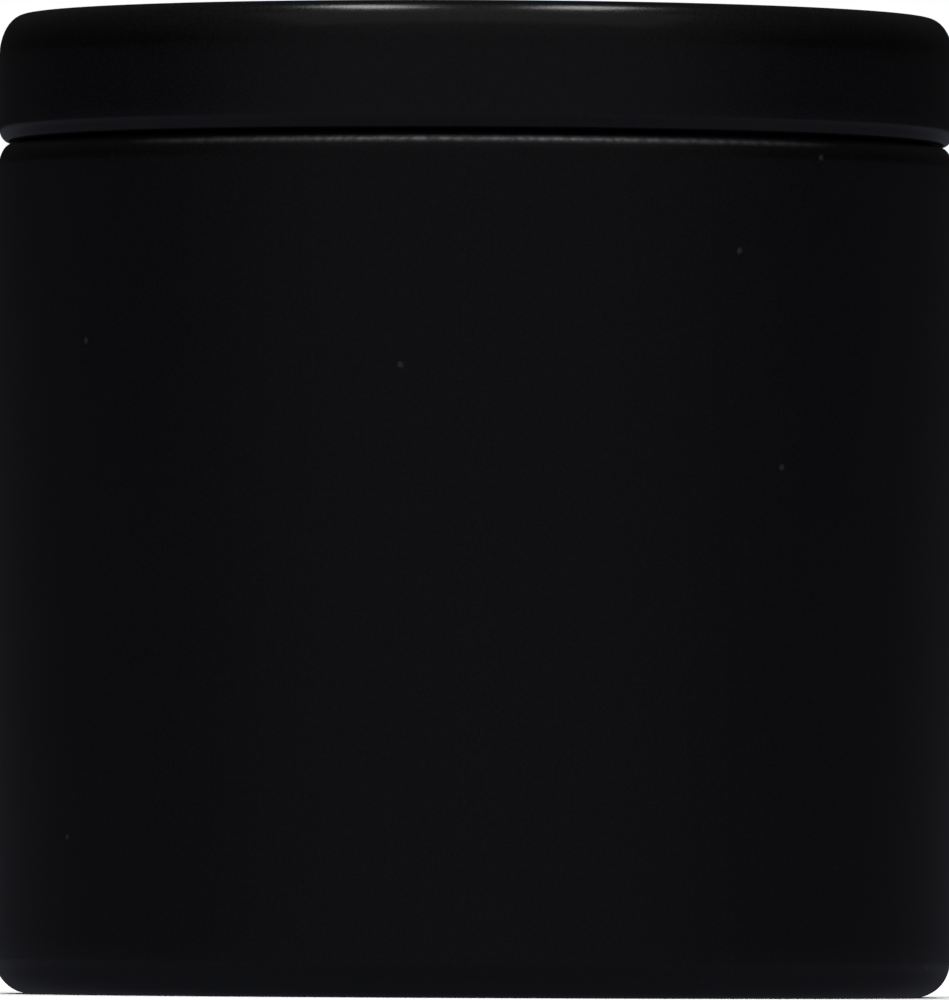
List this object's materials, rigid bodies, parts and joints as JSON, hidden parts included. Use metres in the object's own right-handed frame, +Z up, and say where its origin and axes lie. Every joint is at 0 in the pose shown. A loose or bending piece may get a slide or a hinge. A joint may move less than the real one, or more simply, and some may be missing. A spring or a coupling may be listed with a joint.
{
  "type": "candle tin",
  "caption": "Round seamless candle tin with a flush lift-off lid, rolled mouth, poured wax and a braided wick on a metal sustainer.",
  "frame": {"origin": "on the tin's axis, in the plane of the standing ring under the base", "axes": "+Z up along the tin's axis, towards the lid; X and Y are free, because every piece is round"},
  "size_m": [0.077, 0.077, 0.0789],
  "materials": {
    "body_lacquer": "satin",
    "lid_lacquer": "satin",
    "wax": "satin",
    "cotton": "matte",
    "plated_steel": "satin",
    "foam": "matte"
  },
  "bodies": {
    "tin": {"tin_body": "body_lacquer", "wax_fill": "wax", "wick": "cotton", "wick_sustainer": "plated_steel", "wick_sticker": "foam"},
    "lid": {"lid": "lid_lacquer"}
  },
  "joints": [
    {"name": "lid_lift", "type": "slide", "parent": "tin", "child": "lid", "axis": [0, 0, 1], "range_m": [0, 0.035]}
  ]
}
